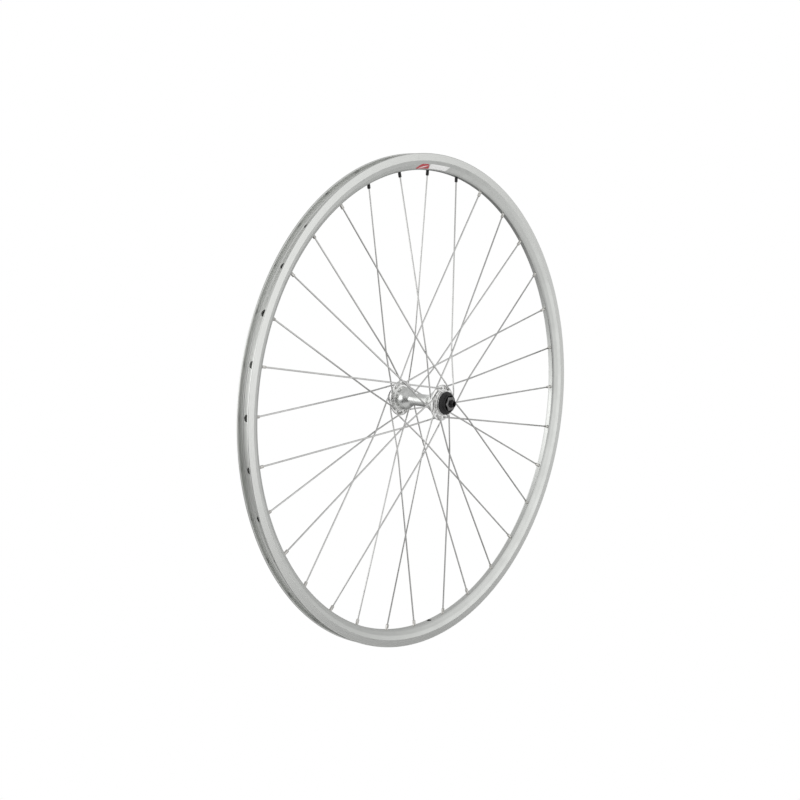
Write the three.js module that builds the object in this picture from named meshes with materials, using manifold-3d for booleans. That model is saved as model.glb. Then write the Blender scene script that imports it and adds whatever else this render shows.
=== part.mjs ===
// A bicycle front wheel for a quick-release skewer: a double-wall aluminium rim, laced
// three-cross with 32 spokes to a cup-and-cone hub that turns on a hollow axle.
//
// Frame: millimetres, +Z up, +Y along the axle, +X the way that the bicycle rolls.
// The origin is the wheel's centre, on the axle and midway between the locknut faces.
// Pieces named "right" lie on the -Y side, and pieces named "left" on the +Y side.

import * as THREE from 'three';
import { mergeVertices } from 'three/addons/utils/BufferGeometryUtils.js';
import Module from 'manifold-3d';

const wasm = await Module();
wasm.setup();

// ---------------------------------------------------------------- driving dimensions

const CLEARANCE = 0.3;           // gap left wherever two pieces touch
const WHEEL_TURN = 2.92;         // degrees that the valve hole stands from straight down

const RIM_RADIUS = 317;          // outside of the tyre hooks
const RIM_HALF_WIDTH = 9.65;
const BEAD_SEAT_RADIUS = 311;    // ISO 622 bead seat
const TRACK_INNER_RADIUS = 307.6;
const SPOKE_BED_RADIUS = 296;
const RIM_FACETS = 64;

const SPOKES = 32;
const CROSSINGS = 3;
const SPOKE_RADIUS = 1;
const SPOKE_SIDES = 6;
const RIM_STAGGER = 0.83;        // how far each nipple hole is drilled off the rim's middle
const ACCESS_HOLE_RADIUS = 4;
const NIPPLE_RADIUS = 2;
const NIPPLE_HEAD_RADIUS = 3;
const NIPPLE_HOLE_RADIUS = 2.5;
const VALVE_HOLE_RADIUS = 3.3;

const FLANGE_RADIUS = 23;
const FLANGE_CENTRE = 34;        // each flange's middle plane, from the wheel's middle
const FLANGE_THICKNESS = 3;
const HOLE_CIRCLE_RADIUS = 19;   // where the spokes pass through the flange
const SPOKE_HOLE_RADIUS = 1.45;
const WAIST_RADIUS = 7.9;
const BARREL_RADIUS = 14.8;
const HUB_FACETS = 24;

const AXLE_RADIUS = 4.5;
const AXLE_BORE_RADIUS = 3.05;
const AXLE_LENGTH = 108;
const LOCKNUT_FACE = 50;         // half of the 100 mm between the fork ends
const LOCKNUT_ACROSS_FLATS = 17;
const CONE_ACROSS_FLATS = 13;

const BALL_RADIUS = 2.38;        // 3/16 inch balls
const BALL_COUNT = 10;
const BALL_CIRCLE_RADIUS = 9.8;
const BALL_PLANE = 34;           // the balls' middle plane, from the wheel's middle
const RACE_RADIUS = BALL_RADIUS + 0.45;
const BEARING_FACETS = 16;

const SPOKE_STEP = 360 / SPOKES;
const FLANGE_STEP = 2 * SPOKE_STEP;
const LACING_ANGLE = CROSSINGS * FLANGE_STEP;
const VALVE_ANGLE = -90;
const SEAM_ANGLE = 90;

// ---------------------------------------------------------------- materials

const anodised = new THREE.MeshStandardMaterial({ color: 0xbcbfbb, roughness: 0.38, metalness: 0.9 });
const sleeveMetal = new THREE.MeshStandardMaterial({ color: 0xa9aca9, roughness: 0.5, metalness: 0.9 });
const polished = new THREE.MeshStandardMaterial({ color: 0xd2d4d1, roughness: 0.2, metalness: 1 });
const stainless = new THREE.MeshStandardMaterial({ color: 0x9a9c9a, roughness: 0.3, metalness: 1 });
const bearingSteel = new THREE.MeshStandardMaterial({ color: 0x8d8f92, roughness: 0.15, metalness: 1 });
const blackSteel = new THREE.MeshStandardMaterial({ color: 0x242424, roughness: 0.45, metalness: 0.8 });
const greySteel = new THREE.MeshStandardMaterial({ color: 0x5c5d5c, roughness: 0.4, metalness: 0.9 });
const rubber = new THREE.MeshStandardMaterial({ color: 0x181818, roughness: 0.75, metalness: 0 });
const labelFilm = new THREE.MeshStandardMaterial({ color: 0xc2474d, roughness: 0.35, metalness: 0 });

// ---------------------------------------------------------------- helpers

const point = (radius, along) => new THREE.Vector2(radius, along);

// A point of the wheel, by its distance from the axle and its angle from +X towards +Z.
function onWheel(radius, degrees, along) {
  const angle = THREE.MathUtils.degToRad(degrees);
  return new THREE.Vector3(radius * Math.cos(angle), along, radius * Math.sin(angle));
}

// The half outline on the +Y side, from the outside in, closed by its own mirror image.
function mirrored(half) {
  const other = half.map((p) => point(p.x, -p.y)).reverse();
  return [...half, ...other];
}

// The same outline on one side of the wheel: 1 keeps it on the left, -1 moves it to the right.
const onSide = (outline, side) => outline.map((p) => point(p.x, side * p.y));

// A ring turned about the axle from a closed outline of (radius, place along the axle).
function ring(outline, facets, start = 0) {
  const outward = THREE.ShapeUtils.isClockWise(outline) ? [...outline].reverse() : outline;
  return new THREE.LatheGeometry([...outward, outward[0]], facets, start);
}

// A solid turned about the Y axis, whose outline starts and ends on that axis.
const turned = (outline, facets) => new THREE.LatheGeometry(outline, facets);

// Points on an arc about a centre in the (radius, along) plane, in degrees.
function arc(centre, radius, from, to, steps) {
  return Array.from({ length: steps + 1 }, (_, i) => {
    const angle = THREE.MathUtils.degToRad(from + ((to - from) * i) / steps);
    return point(centre.x + radius * Math.cos(angle), centre.y + radius * Math.sin(angle));
  });
}

// Welds a geometry's corners, drops the empty triangles of a pole, and makes it a solid.
function toSolid(geometry) {
  const bare = geometry.clone();
  bare.deleteAttribute('normal');
  bare.deleteAttribute('uv');
  const welded = mergeVertices(bare, 1e-4);
  const corners = [];
  for (let i = 0; i < welded.index.count; i += 3) {
    const [a, b, c] = [0, 1, 2].map((k) => welded.index.getX(i + k));
    if (a !== b && b !== c && c !== a) corners.push(a, b, c);
  }
  return new wasm.Manifold(new wasm.Mesh({
    numProp: 3,
    vertProperties: new Float32Array(welded.attributes.position.array),
    triVerts: new Uint32Array(corners),
  }));
}

function toGeometry(solid) {
  const mesh = solid.getMesh();
  const geometry = new THREE.BufferGeometry();
  geometry.setAttribute('position', new THREE.BufferAttribute(mesh.vertProperties, 3));
  geometry.setIndex(new THREE.BufferAttribute(mesh.triVerts, 1));
  geometry.computeVertexNormals();
  return geometry;
}

// One solid from several geometries that touch each other.
const joined = (geometries) => wasm.Manifold.union(geometries.map(toSolid));

// Moves a geometry made along +Y so that it starts at a point and runs in a direction.
function aimed(geometry, start, direction) {
  const turn = new THREE.Quaternion().setFromUnitVectors(new THREE.Vector3(0, 1, 0), direction);
  return geometry.applyQuaternion(turn).translate(start.x, start.y, start.z);
}

// A drill of one radius, from a start point along a direction.
function drill(radius, length, sides, start, direction) {
  const bit = new THREE.CylinderGeometry(radius, radius, length, sides).translate(0, length / 2, 0);
  return aimed(bit, start, direction);
}

function named(name, geometry, material) {
  const mesh = new THREE.Mesh(geometry, material);
  mesh.name = name;
  return mesh;
}

const SIDES = [
  { name: 'right', sign: -1 },
  { name: 'left', sign: 1 },
];

// ---------------------------------------------------------------- spokes and nipples

const NIPPLE_INNER_RADIUS = 289.3;   // the nipple's hub end, from the axle
const NIPPLE_OUTER_RADIUS = 301.6;
const NIPPLE_SEAT_RADIUS = 299.2;    // the underside of the nipple's head
const SPOKE_TIP_RADIUS = 300;
const ELBOW_RADIUS = 1.8;
const HEAD_RADIUS = 1.9;
const HEAD_HEIGHT = 1.1;

// A path through stations: equal steps of its parameter go from one station to the next, so
// that a sweep puts one section at each station, however far apart the stations lie.
class StationPath extends THREE.Curve {
  constructor(stations) {
    super();
    this.stations = stations;
  }

  getPoint(t, target = new THREE.Vector3()) {
    const last = this.stations.length - 1;
    const index = Math.min(Math.floor(t * last), last - 1);
    return target.lerpVectors(this.stations[index], this.stations[index + 1], t * last - index);
  }

  getPointAt(t, target) {
    return this.getPoint(t, target);
  }

  getTangentAt(t, target = new THREE.Vector3()) {
    const last = this.stations.length - 1;
    const index = Math.round(t * last);
    const leg = (i) => this.stations[i + 1].clone().sub(this.stations[i]).normalize();
    const before = leg(Math.max(index - 1, 0));
    const after = leg(Math.min(index, last - 1));
    return target.copy(before).add(after).normalize();
  }
}

// Everything that places one spoke. Spoke 1 is the second to the rear of the rim's seam at the
// top, and the numbers go forwards over the top. Even spokes go to the right flange.
function spokePlan(number) {
  const side = number % 2 === 0 ? -1 : 1;
  const rimAngle = SEAM_ANGLE + 1.5 * SPOKE_STEP - (number - 1) * SPOKE_STEP;
  const lead = number % 4 === 1 || number % 4 === 2 ? 1 : -1;
  const hubAngle = rimAngle + lead * LACING_ANGLE;
  return { side, rimAngle, lead, hubAngle };
}

// The radius at which a spoke meets its last neighbour, on a straight line from hub to rim.
function crossingRadius() {
  const wide = THREE.MathUtils.degToRad(LACING_ANGLE);
  const near = THREE.MathUtils.degToRad(FLANGE_STEP / 2);
  const area = SPOKE_BED_RADIUS * HOLE_CIRCLE_RADIUS * Math.sin(wide);
  return area / (SPOKE_BED_RADIUS * Math.sin(near) + HOLE_CIRCLE_RADIUS * Math.sin(wide - near));
}

// The centre line of a spoke: through the flange, round the elbow, over or under the last
// crossing, and into the nipple. Leading spokes lie on the flange's inner face and pass outside
// their neighbours at the crossing; trailing spokes lie on its outer face and pass inside.
function spokeRoute({ side, rimAngle, lead, hubAngle }) {
  const leaving = -lead * side;
  const face = side * FLANGE_CENTRE + (leaving * FLANGE_THICKNESS) / 2;
  const headFace = side * FLANGE_CENTRE - leaving * (FLANGE_THICKNESS / 2 + CLEARANCE);
  const hole = onWheel(HOLE_CIRCLE_RADIUS, hubAngle, 0);
  const exit = onWheel(SPOKE_BED_RADIUS, rimAngle, 0);
  const span = exit.distanceTo(hole);
  const heading = exit.clone().sub(hole).normalize();
  const at = (distance, along) => {
    return hole.clone().addScaledVector(heading, distance).setY(along);
  };
  const crossing = onWheel(crossingRadius(), rimAngle + (lead * FLANGE_STEP) / 2, 0);
  const crossingDistance = crossing.distanceTo(hole);
  const middle = THREE.MathUtils.lerp(FLANGE_CENTRE, RIM_STAGGER, crossingDistance / span);
  const crossingPlace = side * (middle + lead * (SPOKE_RADIUS + CLEARANCE / 2));
  const bend = arc(point(ELBOW_RADIUS, 0), ELBOW_RADIUS, 180, 90, 2);
  const stations = [at(0, headFace - leaving * HEAD_HEIGHT * 0.5)];
  bend.forEach((p) => stations.push(at(p.x, face + leaving * p.y)));
  if (lead < 0) stations.push(at(10, face + leaving * (SPOKE_RADIUS + 0.45)));
  stations.push(at(crossingDistance, crossingPlace));
  const bedPoint = at(span, side * RIM_STAGGER);
  const aim = bedPoint.clone().sub(stations.at(-1)).normalize();
  return { stations, bedPoint, aim, headFace, leaving, hole };
}

// A point on the spoke's last straight leg, at a distance from the axle.
function onLastLeg({ bedPoint, aim }, radius) {
  return bedPoint.clone().addScaledVector(aim, radius - SPOKE_BED_RADIUS);
}

function spokeWire(route) {
  const corners = arc(point(0, 0), SPOKE_RADIUS, 0, 360 - 360 / SPOKE_SIDES, SPOKE_SIDES - 1);
  const stations = [...route.stations, onLastLeg(route, SPOKE_TIP_RADIUS)];
  return new THREE.ExtrudeGeometry(new THREE.Shape(corners), {
    extrudePath: new StationPath(stations),
    steps: stations.length - 1,
    bevelEnabled: false,
  });
}

function spokeHead({ hole, headFace, leaving }) {
  const outline = [
    point(0, 0),
    point(HEAD_RADIUS, 0),
    point(HEAD_RADIUS * 0.6, HEAD_HEIGHT),
    point(0, HEAD_HEIGHT),
  ];
  const away = new THREE.Vector3(0, -leaving, 0);
  return aimed(turned(outline, SPOKE_SIDES), hole.clone().setY(headFace), away);
}

function nipple(route) {
  const length = NIPPLE_OUTER_RADIUS - NIPPLE_INNER_RADIUS;
  const seat = NIPPLE_SEAT_RADIUS - NIPPLE_INNER_RADIUS;
  const outline = [
    point(0, 0),
    point(NIPPLE_RADIUS, 0),
    point(NIPPLE_RADIUS, seat - 0.4),
    point(NIPPLE_HEAD_RADIUS, seat + 0.4),
    point(NIPPLE_HEAD_RADIUS, length),
    point(0, length),
  ];
  return aimed(turned(outline, SPOKE_SIDES), onLastLeg(route, NIPPLE_INNER_RADIUS), route.aim);
}

const routes = Array.from({ length: SPOKES }, (_, i) => spokeRoute(spokePlan(i + 1)));

function spoke(route, number) {
  const solid = joined([spokeWire(route), spokeHead(route), nipple(route)]);
  return named(`spoke_${String(number).padStart(2, '0')}`, toGeometry(solid), stainless);
}

// ---------------------------------------------------------------- rim

const rimHalf = [
  point(308.6, 5),
  point(BEAD_SEAT_RADIUS, 6),
  point(BEAD_SEAT_RADIUS, 8.1),
  point(315.6, 7.6),
  point(RIM_RADIUS, 8.5),
  point(RIM_RADIUS - 0.5, RIM_HALF_WIDTH),
  point(TRACK_INNER_RADIUS, RIM_HALF_WIDTH),
  point(302.8, 8),
  point(298.2, 5),
  point(SPOKE_BED_RADIUS, 3.4),
];

const chamberHalf = [
  point(307.2, 5),
  point(308.6, 7.9),
  point(299.2, 4.1),
  point(298.1, 3.4),
];

// Half a facet of turn puts every spoke hole in the middle of a facet.
const RIM_START = Math.PI / RIM_FACETS;

function rim() {
  const cutters = [ring(mirrored(chamberHalf), RIM_FACETS, RIM_START)];
  routes.forEach((route, index) => {
    const { side, rimAngle } = spokePlan(index + 1);
    const outwards = onWheel(1, rimAngle, 0);
    const nippleStart = onLastLeg(route, SPOKE_BED_RADIUS - 5);
    cutters.push(drill(NIPPLE_HOLE_RADIUS, 9, 6, nippleStart, route.aim));
    const accessStart = onWheel(304, rimAngle, side * RIM_STAGGER);
    cutters.push(drill(ACCESS_HOLE_RADIUS, 16, 8, accessStart, outwards));
  });
  const valveStart = onWheel(SPOKE_BED_RADIUS - 5, VALVE_ANGLE, 0);
  cutters.push(drill(VALVE_HOLE_RADIUS, 25, 16, valveStart, onWheel(1, VALVE_ANGLE, 0)));
  const body = toSolid(ring(mirrored(rimHalf), RIM_FACETS, RIM_START));
  const solid = cutters.reduce((left, cutter) => left.subtract(toSolid(cutter)), body);
  return named('rim', toGeometry(solid), anodised);
}

// A stretch of a ring, cut out about an angle of the wheel.
function stretch(outline, degrees, length) {
  const height = 40;
  const block = new THREE.BoxGeometry(length, 60, height);
  const middle = onWheel(SPOKE_BED_RADIUS + height / 3, degrees, 0);
  block.rotateY(THREE.MathUtils.degToRad(90 - degrees)).translate(middle.x, 0, middle.z);
  const whole = toSolid(ring(outline, RIM_FACETS, RIM_START));
  return toGeometry(whole.intersect(toSolid(block)));
}

// The bar inside the rim that holds its two ends together.
function rimJointSleeve() {
  const outline = mirrored([
    point(306.7, 5.8),
    point(300, 3.4),
    point(298.6, 2.2),
  ]);
  return named('rim_joint_sleeve', stretch(outline, SEAM_ANGLE, 44), sleeveMetal);
}

// The printed film on the right side of the rim, from the seam forwards.
function rimLabel() {
  const lower = point(298.4, -5.13);
  const upper = point(302.8, -8);
  const outwards = point(upper.y - lower.y, lower.x - upper.x).normalize();
  const lift = (p, height) => p.clone().addScaledVector(outwards, height);
  const film = CLEARANCE + 0.4;
  const outline = [lift(lower, CLEARANCE), lift(upper, CLEARANCE), lift(upper, film), lift(lower, film)];
  return named('rim_label', stretch(outline, SEAM_ANGLE - 5.7, 59.5), labelFilm);
}

// ---------------------------------------------------------------- hub shell

const CUP_OUTER_RADIUS = 13;
const CUP_FLOOR = 30.6;
const CUP_MOUTH = 37.6;
const SHELL_BORE_RADIUS = 5.6;
const SHELL_MOUTH = 38.4;

// The shell from its waist out through the flange and boss, then back in along the bore.
const shellHalf = [
  point(WAIST_RADIUS, 9),
  point(8.7, 14),
  point(10.9, 18),
  point(13.2, 21.2),
  point(BARREL_RADIUS, 25),
  point(BARREL_RADIUS, FLANGE_CENTRE - FLANGE_THICKNESS / 2),
  point(FLANGE_RADIUS - 0.7, FLANGE_CENTRE - FLANGE_THICKNESS / 2),
  point(FLANGE_RADIUS, FLANGE_CENTRE - 0.8),
  point(FLANGE_RADIUS, FLANGE_CENTRE + 0.6),
  point(FLANGE_RADIUS - 2.4, FLANGE_CENTRE + FLANGE_THICKNESS / 2),
  point(16, FLANGE_CENTRE + FLANGE_THICKNESS / 2),
  point(16, 37),
  point(15.2, 37),
  point(15.2, SHELL_MOUTH),
  point(CUP_OUTER_RADIUS + CLEARANCE, SHELL_MOUTH),
  point(CUP_OUTER_RADIUS + CLEARANCE, CUP_FLOOR - CLEARANCE),
  point(SHELL_BORE_RADIUS + 1.2, CUP_FLOOR - CLEARANCE),
  point(SHELL_BORE_RADIUS, 27),
];

function hubShell() {
  let solid = toSolid(ring(mirrored(shellHalf), HUB_FACETS));
  for (let number = 1; number <= SPOKES; number += 1) {
    const { side, hubAngle } = spokePlan(number);
    const start = onWheel(HOLE_CIRCLE_RADIUS, hubAngle, side * (FLANGE_CENTRE - 4));
    const bit = drill(SPOKE_HOLE_RADIUS, 8, 6, start, new THREE.Vector3(0, side, 0));
    solid = solid.subtract(toSolid(bit));
  }
  return named('hub_shell', toGeometry(solid), polished);
}

// ---------------------------------------------------------------- bearings

const ballCentre = point(BALL_CIRCLE_RADIUS, BALL_PLANE);

// The pressed-in cup, whose race holds the balls from outside and below.
function bearingCup(side) {
  const outline = [
    point(8.8, CUP_FLOOR),
    point(CUP_OUTER_RADIUS, CUP_FLOOR),
    point(CUP_OUTER_RADIUS, CUP_MOUTH),
    point(12.5, CUP_MOUTH),
    ...arc(ballCentre, RACE_RADIUS, 10, -90, 3),
    point(8.8, BALL_PLANE - RACE_RADIUS),
  ];
  return named(`bearing_cup_${side.name}`, ring(onSide(outline, side.sign), BEARING_FACETS), bearingSteel);
}

// The dust cap closes the shell's mouth around the cone.
function dustCap(side) {
  const outline = [
    point(10.3, 38.7),
    point(12.7, 37.9),
    point(12.7, 38.7),
    point(15, 38.7),
    point(15, 40.3),
    point(10.3, 40.3),
  ];
  return named(`dust_cap_${side.name}`, ring(onSide(outline, side.sign), HUB_FACETS), polished);
}

// One ring of balls in their retainer, which turns at its own speed between cup and cone.
function ballRing(side) {
  const cage = [point(10.9, 34.6), point(12.1, 34.6), point(12.1, 35.6), point(10.9, 35.6)];
  const pieces = [ring(onSide(cage, side.sign), BEARING_FACETS)];
  for (let i = 0; i < BALL_COUNT; i += 1) {
    const centre = onWheel(BALL_CIRCLE_RADIUS, (i * 360) / BALL_COUNT, side.sign * BALL_PLANE);
    const ball = new THREE.SphereGeometry(BALL_RADIUS, 6, 3);
    pieces.push(ball.translate(centre.x, centre.y, centre.z));
  }
  return named(`ball_ring_${side.name}`, toGeometry(joined(pieces)), bearingSteel);
}

// The cone screws on the axle; its race holds the balls from inside, and two flats take a spanner.
function cone(side) {
  const bore = AXLE_RADIUS + CLEARANCE;
  const outline = [
    point(bore, 32),
    point(6.2, 32),
    ...arc(ballCentre, RACE_RADIUS, 195, 100, 3),
    point(9.6, 37.4),
    point(7.4, 38.8),
    point(7.4, 42.8),
    point(bore, 42.8),
  ];
  let solid = toSolid(ring(onSide(outline, side.sign), BEARING_FACETS));
  for (const flank of [-1, 1]) {
    const cut = new THREE.BoxGeometry(4, 2.4, 20);
    cut.translate(flank * (CONE_ACROSS_FLATS / 2 + 2), side.sign * 41.8, 0);
    solid = solid.subtract(toSolid(cut));
  }
  return named(`cone_${side.name}`, toGeometry(solid), bearingSteel);
}

// ---------------------------------------------------------------- axle set

function axle() {
  const half = AXLE_LENGTH / 2;
  const outline = mirrored([
    point(AXLE_RADIUS, half - 0.6),
    point(AXLE_RADIUS - 0.6, half),
    point(AXLE_BORE_RADIUS, half),
  ]);
  return named('axle', ring(outline, BEARING_FACETS), blackSteel);
}

function spacer(side) {
  const bore = AXLE_RADIUS + CLEARANCE;
  const outline = [point(bore, 43.1), point(7, 43.1), point(7, 44.6), point(bore, 44.6)];
  return named(`spacer_${side.name}`, ring(onSide(outline, side.sign), BEARING_FACETS), blackSteel);
}

// The locknut locks the cone, and its face is what the fork end is clamped against.
function locknut(side) {
  const back = 44.9;
  const bore = AXLE_RADIUS + CLEARANCE;
  const corner = LOCKNUT_ACROSS_FLATS / Math.sqrt(3);
  const blank = new THREE.CylinderGeometry(corner, corner, LOCKNUT_FACE - back, 6);
  blank.translate(0, (side.sign * (LOCKNUT_FACE + back)) / 2, 0);
  const chamfered = [
    point(bore, back - 1),
    point(corner + 1, back - 1),
    point(corner + 1, LOCKNUT_FACE - 2.2),
    point(7.4, LOCKNUT_FACE),
    point(bore, LOCKNUT_FACE),
  ];
  const limit = toSolid(ring(onSide(chamfered, side.sign), HUB_FACETS));
  const solid = toSolid(blank).intersect(limit);
  return named(`locknut_${side.name}`, toGeometry(solid), greySteel);
}

// The rubber boot sits round the locknut and closes the gap to the dust cap.
function sealBoot(side) {
  const bore = LOCKNUT_ACROSS_FLATS / Math.sqrt(3) + CLEARANCE;
  const outline = [
    point(bore, 40.6),
    point(14.4, 40.6),
    point(14.3, 42.6),
    point(11.7, 44.3),
    point(11.2, 47.4),
    point(bore, 47.4),
  ];
  return named(`seal_boot_${side.name}`, ring(onSide(outline, side.sign), HUB_FACETS), rubber);
}

// ---------------------------------------------------------------- assembly

const turningWheel = new THREE.Group();
turningWheel.rotation.y = -THREE.MathUtils.degToRad(WHEEL_TURN);
turningWheel.add(rim(), rimJointSleeve(), rimLabel(), hubShell());
routes.forEach((route, index) => turningWheel.add(spoke(route, index + 1)));
SIDES.forEach((side) => turningWheel.add(bearingCup(side), dustCap(side)));

const group = new THREE.Group();
group.add(turningWheel, axle());
SIDES.forEach((side) => group.add(ballRing(side), cone(side), spacer(side), locknut(side), sealBoot(side)));

export default group;
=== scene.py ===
from math import acos, cos, degrees, hypot, pi, radians, sin, sqrt, tan

import bmesh
import bpy
import numpy as np
from mathutils import Matrix, Vector


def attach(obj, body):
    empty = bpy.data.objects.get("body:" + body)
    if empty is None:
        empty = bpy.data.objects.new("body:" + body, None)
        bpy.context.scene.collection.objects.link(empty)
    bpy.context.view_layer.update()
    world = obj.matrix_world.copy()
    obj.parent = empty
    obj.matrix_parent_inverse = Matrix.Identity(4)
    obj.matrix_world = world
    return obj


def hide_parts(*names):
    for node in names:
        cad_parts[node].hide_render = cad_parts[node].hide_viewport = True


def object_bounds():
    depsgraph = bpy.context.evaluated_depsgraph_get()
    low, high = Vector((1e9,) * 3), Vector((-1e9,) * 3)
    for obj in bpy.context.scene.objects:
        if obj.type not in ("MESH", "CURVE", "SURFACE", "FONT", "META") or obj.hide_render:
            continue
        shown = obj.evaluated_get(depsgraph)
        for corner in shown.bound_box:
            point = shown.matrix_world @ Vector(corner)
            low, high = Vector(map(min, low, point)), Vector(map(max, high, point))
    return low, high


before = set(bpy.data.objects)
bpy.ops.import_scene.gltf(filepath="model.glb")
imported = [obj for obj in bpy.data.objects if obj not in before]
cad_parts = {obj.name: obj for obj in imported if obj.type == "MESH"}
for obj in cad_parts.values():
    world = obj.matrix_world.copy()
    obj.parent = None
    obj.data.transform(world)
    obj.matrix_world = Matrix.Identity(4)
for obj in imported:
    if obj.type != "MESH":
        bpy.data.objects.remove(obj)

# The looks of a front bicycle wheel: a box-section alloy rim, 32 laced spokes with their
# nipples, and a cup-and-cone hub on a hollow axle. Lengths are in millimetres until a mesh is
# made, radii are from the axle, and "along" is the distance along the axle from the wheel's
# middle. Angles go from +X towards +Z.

MM = 0.001
cad_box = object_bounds()

# ------------------------------------------------------------------ sizes

WHEEL_TURN = 2.92                # degrees that the valve hole stands from straight down
SPOKES = 32
SPOKE_STEP = 360 / SPOKES
FLANGE_STEP = 2 * SPOKE_STEP
LACING_ANGLE = 3 * FLANGE_STEP
SEAM_ANGLE = 90
VALVE_ANGLE = -90

SPOKE_BED_RADIUS = 296
RIM_STAGGER = 0.83
ACCESS_STAGGER = 0.2
ACCESS_HOLE_RADIUS = 4.3
NIPPLE_HOLE_RADIUS = 2.2
VALVE_HOLE_RADIUS = 3.3
RIM_STEPS = 384
TRACK_INNER_RADIUS = 307.9
TRACK_OUTER_RADIUS = 316.2
RIM_HALF_WIDTH = 9.65

SPOKE_RADIUS = 1
ELBOW_RADIUS = 1.8
HEAD_RADIUS = 1.85
HEAD_HEIGHT = 1.1
SPOKE_TIP_RADIUS = 300.6
NIPPLE_INNER_RADIUS = 289.3
CLEARANCE = 0.3

FLANGE_CENTRE = 34
FLANGE_THICKNESS = 3
HOLE_CIRCLE_RADIUS = 19
SPOKE_HOLE_RADIUS = 1.45

AXLE_RADIUS = 4.5
AXLE_BORE_RADIUS = 3.05
AXLE_HALF = 54
THREAD_PITCH = 1
THREAD_DEPTH = 0.55
THREAD_START = 30
BALL_RADIUS = 2.38
BALL_COUNT = 10
BALL_CIRCLE_RADIUS = 9.8
BALL_PLANE = 34

SIDES = (("right", -1), ("left", 1))


# ------------------------------------------------------------------ camera, floor and light

# Solved outside this script.
CAMERA_PLACE = (-1.39305, -1.14513, 0.26756)
CAMERA_AIM = (-0.01003, 0.02742, 0.07814)
CAMERA_ROLL = -0.1279            # degrees
CAMERA_LENS = 63.337
CAMERA_SHIFT_Y = -0.07576


def make_camera():
    data = bpy.data.cameras.new("camera")
    data.lens = CAMERA_LENS
    data.sensor_width = 36
    data.shift_y = CAMERA_SHIFT_Y
    data.clip_start = 0.01
    data.clip_end = 200
    camera = bpy.data.objects.new("camera", data)
    bpy.context.scene.collection.objects.link(camera)
    place = Vector(CAMERA_PLACE)
    look = (Vector(CAMERA_AIM) - place).to_track_quat("-Z", "Y").to_matrix().to_4x4()
    roll = Matrix.Rotation(radians(CAMERA_ROLL), 4, "Z")
    camera.matrix_world = Matrix.Translation(place) @ look @ roll
    bpy.context.scene.camera = camera


# ------------------------------------------------------------------ materials


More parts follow.
